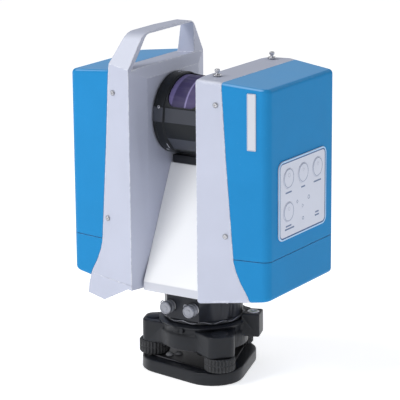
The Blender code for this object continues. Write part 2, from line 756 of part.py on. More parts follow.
def azimuth_drive():
    """The vertical shaft, its bearing, and the motor that turns the alidade."""
    floor = BASE_BOTTOM + BASE_WALL + GAP
    roof = PEDESTAL_BOTTOM - GAP
    low, high = AZIMUTH_BEARING_Z
    foot = low - 2 * MM
    hub = [(0, foot), (AZIMUTH_SHAFT, foot), (AZIMUTH_SHAFT, AZIMUTH_DISC_Z)]
    hub += [(40 * MM, AZIMUTH_DISC_Z), (40 * MM, roof), (0, roof)]
    solid("azimuth_hub", turned(hub, 24), "aluminium")
    inner = ring(AZIMUTH_SHAFT + GAP, 17 * MM, low, high)
    solid("azimuth_bearing_inner", inner, "steel")
    tower = [(17.5 * MM, low), (17.5 * MM, high), (25 * MM, high)]
    tower += [(25 * MM, low), (30 * MM, floor), (18.5 * MM, floor)]
    solid("azimuth_bearing_outer", turned(tower, 24), "steel")
    split = 98 * MM  # stator below, magnets above
    solid("azimuth_stator", ring(32 * MM, 40 * MM, floor, split), "steel")
    magnets = ring(32 * MM, 39 * MM, split + 1 * MM, AZIMUTH_DISC_Z - GAP)
    solid("azimuth_magnet_ring", magnets, "steel")


# ---- Tribrach ----


def screw_centre(word):
    angle = math.radians(SCREW_ANGLES[word])
    return SCREW_CIRCLE * math.cos(angle), SCREW_CIRCLE * math.sin(angle)


def tribrach_body():
    """The levelling head: a grooved ring on a drum with three screw housings and a level's box."""
    profile = [
        (DRUM_INNER, TRIBRACH_BOTTOM),
        (DRUM_OUTER, TRIBRACH_BOTTOM),
        (DRUM_OUTER, TRIBRACH_SHOULDER),
        (GROOVE_RADIUS, TRIBRACH_SHOULDER + 1 * MM),
        (GROOVE_RADIUS, TRIBRACH_TOP - 5.3 * MM),
        (RING_RADIUS, TRIBRACH_TOP - 4.3 * MM),
        (RING_RADIUS, TRIBRACH_TOP - 2.2 * MM),
        (GROOVE_RADIUS - 1 * MM, TRIBRACH_TOP),
        (DRUM_INNER, TRIBRACH_TOP),
    ]
    body = solid("tribrach_body", turned(profile, 40), "black_paint")
    for word in SCREW_ANGLES:
        centre = screw_centre(word)
        boss = [(0, 50 * MM), (BOSS_RADIUS, 50 * MM), (BOSS_RADIUS, 66 * MM)]
        boss += [(BOSS_RADIUS - 2 * MM, 67.4 * MM), (0, 68.2 * MM)]
        combine(body, "UNION", screw_ear(word), turned(boss, 20, "z", centre))
    level = level_box(48 * MM, 75.5 * MM, 14 * MM, 50 * MM, LEVEL_TOP)
    lug = block((-9 * MM, -59.5 * MM, 64 * MM), (-1 * MM, -52 * MM, 70 * MM))
    combine(body, "UNION", level, lug)
    for word in SCREW_ANGLES:
        bore = cylinder(SPINDLE_RADIUS + GAP, 30 * MM, 58 * MM, "z", screw_centre(word), 12)
        combine(body, "DIFFERENCE", bore)
    vial_centre = level_centre()
    foot = LEVEL_TOP - 6.7 * MM
    pocket = cylinder(LEVEL_RADIUS + GAP, foot - GAP, 90 * MM, "z", vial_centre)
    combine(body, "DIFFERENCE", pocket)
    combine(body, "DIFFERENCE", cylinder(SKIRT_RADIUS + 3 * MM, TRIBRACH_TOP, 90 * MM, steps=40))
    vial = [(0, foot), (LEVEL_RADIUS, foot), (LEVEL_RADIUS, foot + 6.1 * MM)]
    vial += [(4 * MM, foot + 7.1 * MM), (0, foot + 7.5 * MM)]
    solid("circular_level", turned(vial, 16, "z", vial_centre), "level_glass")


def screw_ear(word):
    """The broad housing that stands out from the drum over one foot screw."""
    reach = SCREW_CIRCLE + EAR_REACH
    half = EAR_WIDTH / 2
    corners = [(DRUM_INNER, -EAR_ROOT, 0), (reach, -half, 11 * MM), (reach, half, 11 * MM)]
    corners.append((DRUM_INNER, EAR_ROOT, 0))
    shape = prism(filleted(corners, 5), EAR_BOTTOM, EAR_TOP)
    rims = [e for e in shape.edges if abs(e.verts[0].co.z - e.verts[1].co.z) < MM]
    bmesh.ops.bevel(shape, geom=rims, offset=2 * MM, segments=2, affect="EDGES", profile=0.5)
    shape.transform(Matrix.Rotation(math.radians(SCREW_ANGLES[word]), 4, "Z"))
    return shape


def level_centre():
    angle = math.radians(LEVEL_ANGLE)
    return LEVEL_REACH * math.cos(angle), LEVEL_REACH * math.sin(angle)


def level_box(inner, outer, half, low, high):
    """The block on the tribrach's side that holds the circular level."""
    shape = block((inner, -half, low), (outer, half, high), 2 * MM)
    shape.transform(Matrix.Rotation(math.radians(LEVEL_ANGLE), 4, "Z"))
    return shape


def foot_screws():
    """The three levelling screws, each a knob on a spindle with a rounded lower end."""
    for word in SCREW_ANGLES:
        x, y = screw_centre(word)
        tip = 12.6 * MM
        profile = [(0, tip), (SPINDLE_RADIUS, tip + 2.4 * MM), (SPINDLE_RADIUS, KNOB_BOTTOM)]
        profile += [(KNOB_RADIUS - 1.5 * MM, KNOB_BOTTOM), (KNOB_RADIUS, KNOB_BOTTOM + 1.5 * MM)]
        profile += [(KNOB_RADIUS, KNOB_TOP - 1.5 * MM), (KNOB_RADIUS - 1.5 * MM, KNOB_TOP)]
        profile += [(SPINDLE_RADIUS, KNOB_TOP), (SPINDLE_RADIUS, 57 * MM), (0, 57 * MM)]
        shape = turned(profile, 24, "z", (x, y))
        solid(f"foot_screw_{word}", shape, "black_plastic", (x, y, KNOB_BOTTOM))


def corner_outline(corners, steps=9):
    """A triangle with round corners that point at the foot screws, from each one's reach and radius."""
    outline = []
    for word, (reach, radius) in corners.items():
        degrees = SCREW_ANGLES[word]
        angle = math.radians(degrees)
        centre = (reach * math.cos(angle), reach * math.sin(angle))
        outline += arc(centre, radius, degrees - 60, degrees + 60, steps)
    return outline


def tripod_plate():
    """The base plate that the tripod's screw holds, its threaded bush, and the spring plate on it."""
    shape = prism(corner_outline(BASE_PLATE_CORNERS), 0, BASE_PLATE)
    rims = [e for e in shape.edges if abs(e.verts[0].co.z - e.verts[1].co.z) < MM]
    bmesh.ops.bevel(shape, geom=rims, offset=1.5 * MM, segments=1, affect="EDGES")
    plate = solid("base_plate", shape, "black_paint")
    combine(plate, "DIFFERENCE", cylinder(BUSH_RADIUS, -MM, 20 * MM))
    for word in SCREW_ANGLES:
        seat = cylinder(5 * MM, 12.2 * MM, 20 * MM, "z", screw_centre(word), 12)
        combine(plate, "DIFFERENCE", seat)
    bush = ring(TRIPOD_THREAD, BUSH_RADIUS - GAP, 0.6 * MM, 14 * MM)
    solid("tripod_bush", bush, "brass")
    spring = prism(corner_outline(SPRING_PLATE_CORNERS, 5), BASE_PLATE + GAP, 18.3 * MM)
    leaf = solid("spring_plate", spring, "steel")
    combine(leaf, "DIFFERENCE", cylinder(9.5 * MM, 10 * MM, 20 * MM))
    for word in SCREW_ANGLES:
        hole = cylinder(6 * MM, 10 * MM, 20 * MM, "z", screw_centre(word), 12)
        combine(leaf, "DIFFERENCE", hole)


def lock_lever():
    """The knob at the tribrach's rear that locks the instrument in it."""
    angle = math.radians(LEVER_ANGLE)
    outward = Vector((math.cos(angle), math.sin(angle), 0))
    profile = [(0, 0), (5 * MM, 0), (5 * MM, 4 * MM), (8.5 * MM, 4.5 * MM), (8.5 * MM, 11 * MM)]
    profile += [(7 * MM, 12.5 * MM), (0, 12.5 * MM)]
    shape = turned(profile, 16)
    pivot = outward * (DRUM_OUTER + GAP) + Vector((0, 0, LEVER_Z))
    turn = outward.to_track_quat("Z", "Y").to_matrix().to_4x4()
    shape.transform(Matrix.Translation(pivot) @ turn)
    piece = solid("lock_lever", shape, "black_paint", tuple(pivot))
    grip = block((-2 * MM, -13 * MM, 6 * MM), (2 * MM, 0, 11.5 * MM))
    grip.transform(Matrix.Translation(pivot) @ turn)
    combine(piece, "UNION", grip)


def main():
    for item in list(bpy.data.objects):
        bpy.data.objects.remove(item)
    pillars()
    keypad()
    label_plate()
    thumb_screws()
    pedestal()
    rotor()
    rotor_fixtures()
    electronics()
    instrument_base()
    adapter_flange()
    connectors()
    azimuth_drive()
    tribrach_body()
    foot_screws()
    tripod_plate()
    lock_lever()


main()
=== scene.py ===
"""Looks of a terrestrial laser scanner on its tribrach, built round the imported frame. Metres, +Z up."""

import json
import math

import bmesh
import bpy
from mathutils import Matrix, Vector

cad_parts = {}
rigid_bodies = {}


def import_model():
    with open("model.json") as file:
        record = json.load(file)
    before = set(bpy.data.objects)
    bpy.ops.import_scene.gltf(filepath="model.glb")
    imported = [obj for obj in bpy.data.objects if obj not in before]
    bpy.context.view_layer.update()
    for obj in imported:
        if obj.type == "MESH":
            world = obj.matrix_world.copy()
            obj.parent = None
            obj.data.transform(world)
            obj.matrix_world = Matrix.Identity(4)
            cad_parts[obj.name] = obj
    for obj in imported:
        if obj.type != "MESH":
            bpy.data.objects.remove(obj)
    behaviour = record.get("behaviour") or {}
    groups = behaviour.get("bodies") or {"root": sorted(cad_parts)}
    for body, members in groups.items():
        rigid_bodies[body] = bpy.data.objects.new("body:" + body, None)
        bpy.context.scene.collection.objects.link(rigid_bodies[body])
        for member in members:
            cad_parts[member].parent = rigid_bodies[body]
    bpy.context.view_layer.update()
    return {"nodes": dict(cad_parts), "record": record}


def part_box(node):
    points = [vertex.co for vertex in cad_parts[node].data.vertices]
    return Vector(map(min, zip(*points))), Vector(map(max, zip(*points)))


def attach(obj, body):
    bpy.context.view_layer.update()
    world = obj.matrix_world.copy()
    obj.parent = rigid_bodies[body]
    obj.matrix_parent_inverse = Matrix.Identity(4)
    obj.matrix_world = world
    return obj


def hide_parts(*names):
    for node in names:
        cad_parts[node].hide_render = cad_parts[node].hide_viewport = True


MM = 0.001
TAU = 2 * math.pi

for item in list(bpy.data.objects):
    bpy.data.objects.remove(item)
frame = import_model()
RECORD = frame["record"]
BODY = {n: b for b, names in RECORD["behaviour"]["bodies"].items() for n in names}
SLOT = {part["node"]: part["material_slot"] for part in RECORD["subparts"]}


# ---- Finishes ----

# Directions of the surfaces that are painted paler as a painted highlight.
UPPER_FRONT = (0.07, -0.66, 0.75)
PEDESTAL_FRONT = (0, -0.905, 0.425)
UPWARDS = (0, 0, 1)


class Look:
    """A material, with short calls for the nodes that the finishes share."""

    def __init__(self, name, metallic=0.0, **sockets):
        self.material = bpy.data.materials.new(name)
        self.material.use_nodes = True
        self.tree = self.material.node_tree
        self.shader = self.tree.nodes["Principled BSDF"]
        self.shader.inputs["Metallic"].default_value = metallic
        for socket, value in sockets.items():
            self.shader.inputs[socket.replace("_", " ")].default_value = value
        self.place = self.node("TexCoord").outputs["Object"]

    def node(self, kind, inputs=(), **settings):
        made = self.tree.nodes.new("ShaderNode" + kind)
        for key, value in settings.items():
            setattr(made, key, value)
        for key, value in dict(inputs).items():
            if isinstance(value, bpy.types.NodeSocket):
                self.tree.links.new(value, made.inputs[key])
            else:
                made.inputs[key].default_value = value
        return made

    def noise(self, scale, detail=2.0, stretch=(1, 1, 1)):
        place = self.node("Mapping", {"Vector": self.place, "Scale": stretch}).outputs[0]
        inputs = {"Vector": place, "Scale": scale, "Detail": detail, "Roughness": 0.6}
        return self.node("TexNoise", inputs).outputs["Fac"]

    def spread(self, value, low, high, to_low=0.0, to_high=1.0):
        inputs = {"Value": value, "From Min": low, "From Max": high}
        return self.node("MapRange", {**inputs, "To Min": to_low, "To Max": to_high}).outputs[0]

    def maths(self, operation, a, b=0.0):
        return self.node("Math", {0: a, 1: b}, operation=operation).outputs[0]

    def blend(self, factor, a, b, mode="MIX"):
        made = self.node("Mix", {"Factor": factor}, data_type="RGBA", blend_type=mode)
        for socket, value in ((made.inputs[6], a), (made.inputs[7], b)):
            if isinstance(value, bpy.types.NodeSocket):
                self.tree.links.new(value, socket)
            else:
                socket.default_value = (*value, 1)
        return made.outputs[2]

    def edges(self, radius):
        """The rounded normal near an edge, and how strongly a point is on an edge."""
        rounded = self.node("Bevel", {"Radius": radius}, samples=4).outputs[0]
        normal = self.node("NewGeometry").outputs["Normal"]
        dot = self.node("VectorMath", {0: rounded, 1: normal}, operation="DOT_PRODUCT")
        return rounded, self.spread(dot.outputs["Value"], 0.9997, 0.991)

    def finish(self, colour, roughness, normal):
        for socket, value in (("Base Color", colour), ("Roughness", roughness), ("Normal", normal)):
            if value is not None:
                self.tree.links.new(value, self.shader.inputs[socket])
        return self.material


def tint(colour, factor):
    """A colour made darker or lighter."""
    return tuple(min(1.0, c * factor) for c in colour)


def coated(name, colour, roughness, grain, wear_and_sheen, edge_wear_and_highlight=0.4, edge=0.8, metallic=0.0, painted_sheen=None, **sockets):
    """Paint or moulded plastic: fine surface grain, faint clouding, and edges scuffed by handling and painted
    paler as a highlight.

    grain holds the grain's scale and strength, and edge is the width in millimetres of the scuffed edges and
    their painted highlight. The list of strength, direction and start entries paints highlights: how far the
    colour is lightened towards the pale edge colour on surfaces that face a direction, and from which cosine
    on."""
    look = Look(name, metallic, **sockets)
    cloud = look.noise(11, 4)
    fine = look.noise(grain[0], 2)
    base = look.blend(look.spread(cloud, 0.3, 0.7), tint(colour, 0.955), tint(colour, 1.03))
    rounded, edge_mask = look.edges(edge * MM)
    scuffs = look.spread(look.noise(190, 5), 0.42, 0.62)
    # Partly rubbed paint and partly a painted highlight: edges are lightened towards the pale edge colour.
    rubbed_and_highlit = look.maths("MULTIPLY", edge_mask, look.maths("MULTIPLY", scuffs, edge_wear_and_highlight))
    base = look.blend(rubbed_and_highlit, base, wear_and_sheen)
    dust = look.spread(look.noise(420, 3), 0.63, 0.78, 0.0, 0.08)
    base = look.blend(dust, base, tint(wear_and_sheen, 0.9))
    # Painted highlight: surfaces that face each direction are lightened towards the pale edge colour,
    # standing in for the light they catch.
    for strength, direction, start in painted_sheen or ():
        normal = look.node("NewGeometry").outputs["Normal"]
        dot = look.node("VectorMath", {0: normal, 1: direction}, operation="DOT_PRODUCT")
        sheen_mask = look.spread(dot.outputs["Value"], start, 0.99, 0.0, strength)
        base = look.blend(sheen_mask, base, wear_and_sheen)
    rough = look.spread(cloud, 0.25, 0.75, roughness - 0.05, roughness + 0.06)
    rough = look.maths("ADD", rough, look.spread(fine, 0.3, 0.7, -0.03, 0.03))
    inputs = {"Height": fine, "Normal": rounded, "Strength": grain[1], "Distance": 0.2 * MM}
    return look.finish(base, rough, look.node("Bump", inputs).outputs[0])


def machined(name, colour, roughness, stretch=(1, 1, 12), grain=700, edge=0.25, **sockets):
    """Bare metal with the fine lines that a cutter or a brush leaves."""
    look = Look(name, 1.0, **sockets)
    lines = look.noise(grain, 3, stretch)
    cloud = look.noise(30, 3)
    base = look.blend(look.spread(lines, 0.3, 0.7), tint(colour, 0.82), tint(colour, 1.06))
    base = look.blend(look.spread(cloud, 0.55, 0.8, 0.0, 0.35), base, tint(colour, 0.6))
    rounded, edge_mask = look.edges(edge * MM)
    base = look.blend(look.maths("MULTIPLY", edge_mask, 0.5), base, tint(colour, 1.3))
    rough = look.spread(lines, 0.3, 0.7, roughness - 0.07, roughness + 0.1)
    inputs = {"Height": lines, "Normal": rounded, "Strength": 0.12, "Distance": 0.1 * MM}
    return look.finish(base, rough, look.node("Bump", inputs).outputs[0])


def coated_glass(name):
    """A dark pane with a violet anti-reflection coating, and painted reflections: streaks of light across it.
    """
    look = Look(name, 0.0, IOR=1.5, Specular_IOR_Level=0.12)
    across = look.node("SeparateXYZ", {0: look.place}).outputs["X"]
    # Painted reflections: bands of reflected light and shade painted across the pane.
    reflection_ramp = look.node("ValToRGB", {0: look.spread(across, -24 * MM, 24 * MM)})
    stops = reflection_ramp.color_ramp
    light, dark, reflection_streak, soft = (
        (0.13, 0.11, 0.26),
        (0.042, 0.034, 0.095),
        (0.24, 0.21, 0.4),
        (0.07, 0.055, 0.14),
    )
    colours = [
        (0.0, light),
        (1.0, soft),
        (0.13, light),
        (0.17, dark),
        (0.52, dark),
        (0.555, reflection_streak),
        (0.57, reflection_streak),
        (0.59, soft),
    ]
    for i, (place, colour) in enumerate(colours):
        stop = stops.elements[i] if i < 2 else stops.elements.new(place)
        stop.position = place
        stop.color = (*colour, 1)
    smear = look.noise(60, 3, (1, 4, 4))
    base = look.blend(look.spread(smear, 0.5, 0.8, 0.0, 0.2), reflection_ramp.outputs[0], (0.12, 0.1, 0.2))
    rough = look.spread(smear, 0.3, 0.8, 0.34, 0.44)
    return look.finish(base, rough, None)


def clear(name, colour, transmission):
    """Clear glass or fluid with a slight tint."""
    look = Look(name, 0.0, IOR=1.45, Transmission_Weight=transmission)
    cloud = look.noise(120, 2)
    base = look.blend(look.spread(cloud, 0.3, 0.7), tint(colour, 0.9), tint(colour, 1.05))
    return look.finish(base, look.spread(cloud, 0.3, 0.7, 0.02, 0.08), None)


def circuit_board(name):
    """Green lacquer with the faint grid of copper tracks under it."""
    look = Look(name, 0.0, Coat_Weight=0.4)
    inputs = {"Vector": look.place, "Scale": 160.0}
    tracks = look.node("TexBrick", inputs).outputs["Fac"]
    base = look.blend(tracks, (0.012, 0.11, 0.045), (0.03, 0.2, 0.08))
    cloud = look.noise(300, 3)
    return look.finish(base, look.spread(cloud, 0.3, 0.7, 0.3, 0.5), None)


SILVER = (0.49, 0.518, 0.632)
BLUE = (0.02, 0.235, 0.53)
BLACK = (0.010, 0.0115, 0.0155)
LOOKS = {
    # Painted highlights: the upper front fillets are painted paler, and the edges are lightened strongly,
    # partly wear and partly a painted highlight.
    "silver_paint": coated(
        "silver_paint",
        SILVER,
        0.46,
        (950, 0.16),
        (0.8, 0.82, 0.88),
        edge_wear_and_highlight=1.2,
        edge=1.6,
        metallic=0.1,
        painted_sheen=((0.25, UPPER_FRONT, 0.93),),
    ),
    # Painted highlights: the upper front fillets and the tops are painted paler, as if lit from above.
    "blue_paint": coated(
        "blue_paint",
        BLUE,
        0.36,
        (900, 0.14),
        (0.26, 0.52, 0.84),
        edge_wear_and_highlight=0.2,
        edge=1.2,
        painted_sheen=((0.75, UPPER_FRONT, 0.93), (0.42, UPWARDS, 0.9)),
        Specular_IOR_Level=0.04,
    ),
    "black_paint": coated(
        "black_paint", BLACK, 0.38, (800, 0.2), (0.07, 0.075, 0.09), 0.3, 0.7, Specular_IOR_Level=0.28
    ),
    "black_plastic": coated(
        "black_plastic", (0.014, 0.015, 0.018), 0.55, (1100, 0.3), (0.06, 0.062, 0.07)
    ),
    "panel_film": coated("panel_film", (0.6, 0.635, 0.75), 0.38, (1600, 0.08), (0.7, 0.74, 0.85), 0.3, 0.3),
    "white_film": coated("white_film", (0.57, 0.59, 0.65), 0.35, (1600, 0.06), (0.85, 0.86, 0.9), 0.3, 0.3),
    "steel": machined("steel", (0.55, 0.55, 0.58), 0.3),
    "chrome": machined("chrome", (0.78, 0.78, 0.82), 0.2, (3, 12, 3), 500),
    "aluminium": machined("aluminium", (0.72, 0.72, 0.74), 0.36),
    "brass": machined("brass", (0.72, 0.5, 0.2), 0.3),
    "window_glass": coated_glass("window_glass"),
    "mirror": machined("mirror", (0.9, 0.9, 0.93), 0.09, (1, 1, 1), 900),
    "circuit": circuit_board("circuit"),
    "level_glass": clear("level_glass", (0.5, 0.58, 0.42), 0.2),
}
SATIN_NICKEL = machined("satin_nickel", (0.33, 0.34, 0.38), 0.42, (3, 12, 3), 500)
DARK_BRONZE = machined("dark_bronze", (0.07, 0.06, 0.05), 0.45)
SPRING_STEEL = machined("spring_steel", (0.11, 0.11, 0.12), 0.38)
# A pale rubber colour, painted lighter still so that it shows in the shade under the tribrach body: painted
# light.
RUBBER_WITH_PAINTED_LIGHT = coated("rubber_with_painted_light", (0.15, 0.155, 0.17), 0.6, (900, 0.2), (0.25, 0.25, 0.27), 0.3, 0.4)
# The flats' lighter colour is partly a satin finish and partly a painted highlight for the light the flats
# catch.
ROTOR_FLAT_SATIN_AND_SHEEN = coated("rotor_flat_satin_and_sheen", (0.032, 0.036, 0.049), 0.4, (1200, 0.2), (0.1, 0.1, 0.12), 0.2, 0.3)
ROTOR_BLACK = coated(
    "rotor_black",
    (0.013, 0.015, 0.018),
    0.3,
    (800, 0.1),
    (0.04, 0.042, 0.05),
    edge_wear_and_highlight=0.12,
    edge=0.5,
    Specular_IOR_Level=0.15,
)
BASE_BLACK = coated(
    "base_black",
    (0.021, 0.023, 0.03),
    0.38,
    (800, 0.2),
    (0.08, 0.085, 0.1),
    edge_wear_and_highlight=0.3,
    edge=0.7,
    Specular_IOR_Level=0.28,
)
# The slanted front, which faces up into the light, is painted paler than the sill: a painted highlight.
PEDESTAL_PAINT_AND_SHEEN = coated(
    "pedestal_paint_and_sheen",
    (0.58, 0.595, 0.66),
    0.4,
    (950, 0.14),
    (0.84, 0.85, 0.87),
    edge=1.6,
    painted_sheen=((1.0, PEDESTAL_FRONT, 0.96),),
)
INK = coated("printed_ink", (0.12, 0.18, 0.32), 0.5, (1600, 0.1), (0.3, 0.33, 0.4), 0.2, 0.2)
KEY_SIGN = coated("key_sign", (0.36, 0.4, 0.52), 0.5, (1600, 0.1), (0.5, 0.53, 0.6), 0.2, 0.2)
PALE_EDGE = coated("film_edge", (0.4, 0.63, 0.9), 0.3, (1600, 0.1), (0.8, 0.87, 0.95), 0.2, 0.2)
SHADOW_LINE = coated("groove_shadow_line", (0.035, 0.1, 0.26), 0.5, (1600, 0.1), (0.1, 0.2, 0.4), 0.2, 0.2)


# ---- Meshes ----


def lathe(profile, steps=64, closed=False):
    """A mesh turned about Z from (radius, height) rings.

    A ring's third value is a function of the angle, which scales its radius."""
    shape = bmesh.new()
    rings = []
    for radius, height, *form in profile:
        ring = []
        for i in range(steps if radius else 1):
            angle = TAU * i / steps
            reach = radius * (form[0](angle) if form else 1)
            place = (reach * math.cos(angle), reach * math.sin(angle), height)
            ring.append(shape.verts.new(place))
        rings.append(ring)
    following = rings[1:] + rings[:1] if closed else rings[1:]
    for first, second in zip(rings, following):
        for i in range(steps):
            j = i + 1
            corners = [first[i % len(first)], first[j % len(first)]]
            corners += [second[j % len(second)], second[i % len(second)]]
            corners = list(dict.fromkeys(corners))
            if len(corners) > 2:
                shape.faces.new(corners)
    bmesh.ops.recalc_face_normals(shape, faces=shape.faces)
    return shape


def prism(outline, low, high, crown=0.0):
    """An outline in X and Y extruded from low to high along Z, with its upper rim broken by crown."""
    shape = bmesh.new()
    ends = [[shape.verts.new((x, y, z)) for x, y in outline] for z in (low, high)]
    for ring in ends:
        shape.faces.new(ring)
    for i in range(len(outline)):
        shape.faces.new((ends[0][i - 1], ends[0][i], ends[1][i], ends[1][i - 1]))
    bmesh.ops.recalc_face_normals(shape, faces=shape.faces)
    if crown:
        rims = [e for e in shape.edges if min(v.co.z for v in e.verts) > high - 1e-7]
        bmesh.ops.bevel(shape, geom=rims, offset=crown, segments=2, affect="EDGES", profile=0.5)
    return shape


def frame_line(outline, inner, low, high):
    """A flat closed line between two outlines that have the same number of points."""
    shape = bmesh.new()
    levels = ((outline, low), (outline, high), (inner, high), (inner, low))
    rings = [[shape.verts.new((x, y, z)) for x, y in points] for points, z in levels]
    for first, second in zip(rings, rings[1:] + rings[:1]):
        for i in range(len(outline)):
            shape.faces.new((first[i - 1], first[i], second[i], second[i - 1]))
    bmesh.ops.recalc_face_normals(shape, faces=shape.faces)
    return shape


def rounded(width, height, radius, centre=(0, 0), steps=8):
    """A rounded rectangle's outline, counter-clockwise."""
    points = []
    for quarter, (sx, sy) in enumerate(((1, 1), (-1, 1), (-1, -1), (1, -1))):
        cx = centre[0] + sx * (width / 2 - radius)
        cy = centre[1] + sy * (height / 2 - radius)
        for i in range(steps + 1):
            angle = TAU * (quarter + i / steps) / 4
            points.append((cx + radius * math.cos(angle), cy + radius * math.sin(angle)))
    return points


def circle(radius, centre=(0, 0), steps=40):
    return [
        (centre[0] + radius * math.cos(TAU * i / steps), centre[1] + radius * math.sin(TAU * i / steps))
        for i in range(steps)
    ]


def torus(radius, wire, steps=32, sides=10):
    profile = [
        (radius + wire * math.cos(TAU * i / sides), wire * math.sin(TAU * i / sides))
        for i in range(sides)
    ]
    return lathe(profile, steps, closed=True)


def hexagon(angle):
    """A hexagon's radius at an angle, with its corners at radius 1."""
    return math.cos(TAU / 12) / math.cos(angle % (TAU / 6) - TAU / 12)


def flutes(count, depth):
    """A knurled rim's radius at an angle."""
    return lambda angle: 1 - depth * (0.5 - 0.5 * math.cos(count * angle)) ** 2


def facing(place, direction, up="Y"):
    """The transform that puts a mesh's Z along a direction at a place."""
    turn = Vector(direction).to_track_quat("Z", up).to_matrix().to_4x4()
    return Matrix.Translation(Vector(place)) @ turn


# Turns an outline's X, Y and Z to the object's Y, Z and X.
SIDE = Matrix(((0, 0, 1, 0), (1, 0, 0, 0), (0, 1, 0, 0), (0, 0, 0, 1)))


def around(degrees):
    """The level direction at an angle round the vertical axis."""
    angle = math.radians(degrees)
    return Vector((math.cos(angle), math.sin(angle), 0))


def outward(angle):
    """The direction away from the rotor's axis, at an angle up from the forward horizontal."""
    return Vector((0, -math.cos(angle), math.sin(angle)))


def middle(node):
    """The centre of a CAD node's box."""
    low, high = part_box(node)
    return (low + high) / 2


# ---- Pieces ----

FILLET_STRIP = 4.6 * MM  # a region narrower than this is part of a fillet
COPLANAR = math.radians(0.4)
SHARP_ANGLE = math.radians(35)  # an edge beside a fillet's strip stays smooth below this
SHALLOW_ANGLE = math.radians(5)  # and an edge between broad faces below this
NORMAL_WEIGHT = 80


def even_normals(made):
    """Lets a piece's broad faces set its shading."""
    change = made.modifiers.new("even_normals", "WEIGHTED_NORMAL")
    change.keep_sharp = True
    change.weight = NORMAL_WEIGHT


def piece(name, shape, look, body, replaced=(), crease=35, place=None):
    """A finished piece of the visual model, riding on its body. Without a crease its edges are kept."""
    if place is not None:
        shape.transform(place)
    mesh = bpy.data.meshes.new(name)
    shape.to_mesh(mesh)
    shape.free()
    if crease:
        mesh.shade_smooth()
        mesh.set_sharp_from_angle(angle=math.radians(crease))
    made = bpy.data.objects.new(name, mesh)
    bpy.context.scene.collection.objects.link(made)
    mesh.materials.append(look)
    even_normals(made)
    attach(made, body)
    if replaced:
        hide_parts(*replaced)
    return made


def cut(target, shape, crease=35):
    """Cuts a closed shape out of a piece."""
    mesh = bpy.data.meshes.new("cut")
    shape.to_mesh(mesh)
    shape.free()
    tool = bpy.data.objects.new("cut", mesh)
    bpy.context.scene.collection.objects.link(tool)
    change = target.modifiers.new("cut", "BOOLEAN")
    change.operation = "DIFFERENCE"
    change.object = tool
    bpy.context.view_layer.update()
    graph = bpy.context.evaluated_depsgraph_get()
    target.modifiers.remove(target.modifiers["even_normals"])
    result = bpy.data.meshes.new_from_object(target.evaluated_get(graph))
    target.modifiers.clear()
    old = target.data
    target.data = result
    bpy.data.meshes.remove(old)
    bpy.data.objects.remove(tool)
    result.shade_smooth()
    result.set_sharp_from_angle(angle=math.radians(crease))
    even_normals(target)


def stand_in(node, name, shape, place=None, look=None, crease=35):
    """A detailed piece shown in a CAD node's place."""
    slot = SLOT[node]
    return piece(name, shape, look or LOOKS[slot], BODY[node], (node,), crease, place)


def welded(node):
    """A CAD node's shape with its faces joined, so that its curves can be shaded smoothly."""
    shape = bmesh.new()
    shape.from_mesh(frame["nodes"][node].data)
    bmesh.ops.remove_doubles(shape, verts=shape.verts, dist=1e-6)
    return shape


def refined(node, look=None, crease=35):
    """A CAD node's own shape, shaded smoothly and given its finish."""
    return stand_in(node, f"{node}_finished", welded(node), look=look, crease=crease)


def flat_regions(shape):
    """Each face's breadth: twice the area over the perimeter of the flat region that it belongs to."""
    breadth = {}
    for start in shape.faces:
        if start in breadth:
            continue
        region, waiting, rim = {start}, [start], 0.0
        while waiting:
            for edge in waiting.pop().edges:
                others = [f for f in edge.link_faces if f not in region]
                if others and edge.calc_face_angle(math.pi) < COPLANAR:
                    region.update(others)
                    waiting += others
        for face in region:
            rim += sum(e.calc_length() for e in face.edges if not region.issuperset(e.link_faces))
        breadth.update(dict.fromkeys(region, 2 * sum(f.calc_area() for f in region) / rim))
    return breadth


def moulded(node, look=None):
    """A CAD node whose broad faces meet in crisp lines, while the narrow strips of a fillet stay smooth."""
    shape = welded(node)
    breadth = flat_regions(shape)
    for face in shape.faces:
        face.smooth = True
    for edge in shape.edges:
        narrow = min((breadth[f] for f in edge.link_faces), default=0) < FILLET_STRIP
        edge.smooth = edge.calc_face_angle(math.pi) < (SHARP_ANGLE if narrow else SHALLOW_ANGLE)
    return stand_in(node, f"{node}_finished", shape, look=look, crease=None)


def screw_head(radius, height):
    """A low screw head with a hexagonal socket, resting at Z 0."""
    profile = [
        (0, -0.2 * MM),
        (radius, -0.2 * MM),
        (radius, height * 0.6),
        (radius * 0.86, height),
        (radius * 0.56, height),
        (radius * 0.5, height * 0.94, hexagon),
        (radius * 0.5, height * 0.2, hexagon),
        (0, height * 0.15),
    ]
    return lathe(profile, 36)


# ---- Housings ----

FRONT_LEAN = (0.1351, -0.9908)  # a front plate's outward direction, X away from the axis, and Y
REAR_LEAN = (0.1935, 0.9811)
REAR_SLOPE = 0.1972  # how far a rear plate falls forwards for each step away from its tip
REAR_TIP_X = 72
REAR_SCREWS = {"upper": (78, 371.5), "lower": (89, 209)}  # X and Z in millimetres
SEAT_RADIUS = 3.5 * MM


def housings():
    """The frames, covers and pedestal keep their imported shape, with their curves shaded smoothly."""
    for side in ("left", "right"):
        for part in ("frame", "cover", "lower_cover"):
            moulded(f"{side}_{part}")
    refined("rotor_baffle")
    moulded("pedestal", PEDESTAL_PAINT_AND_SHEEN)


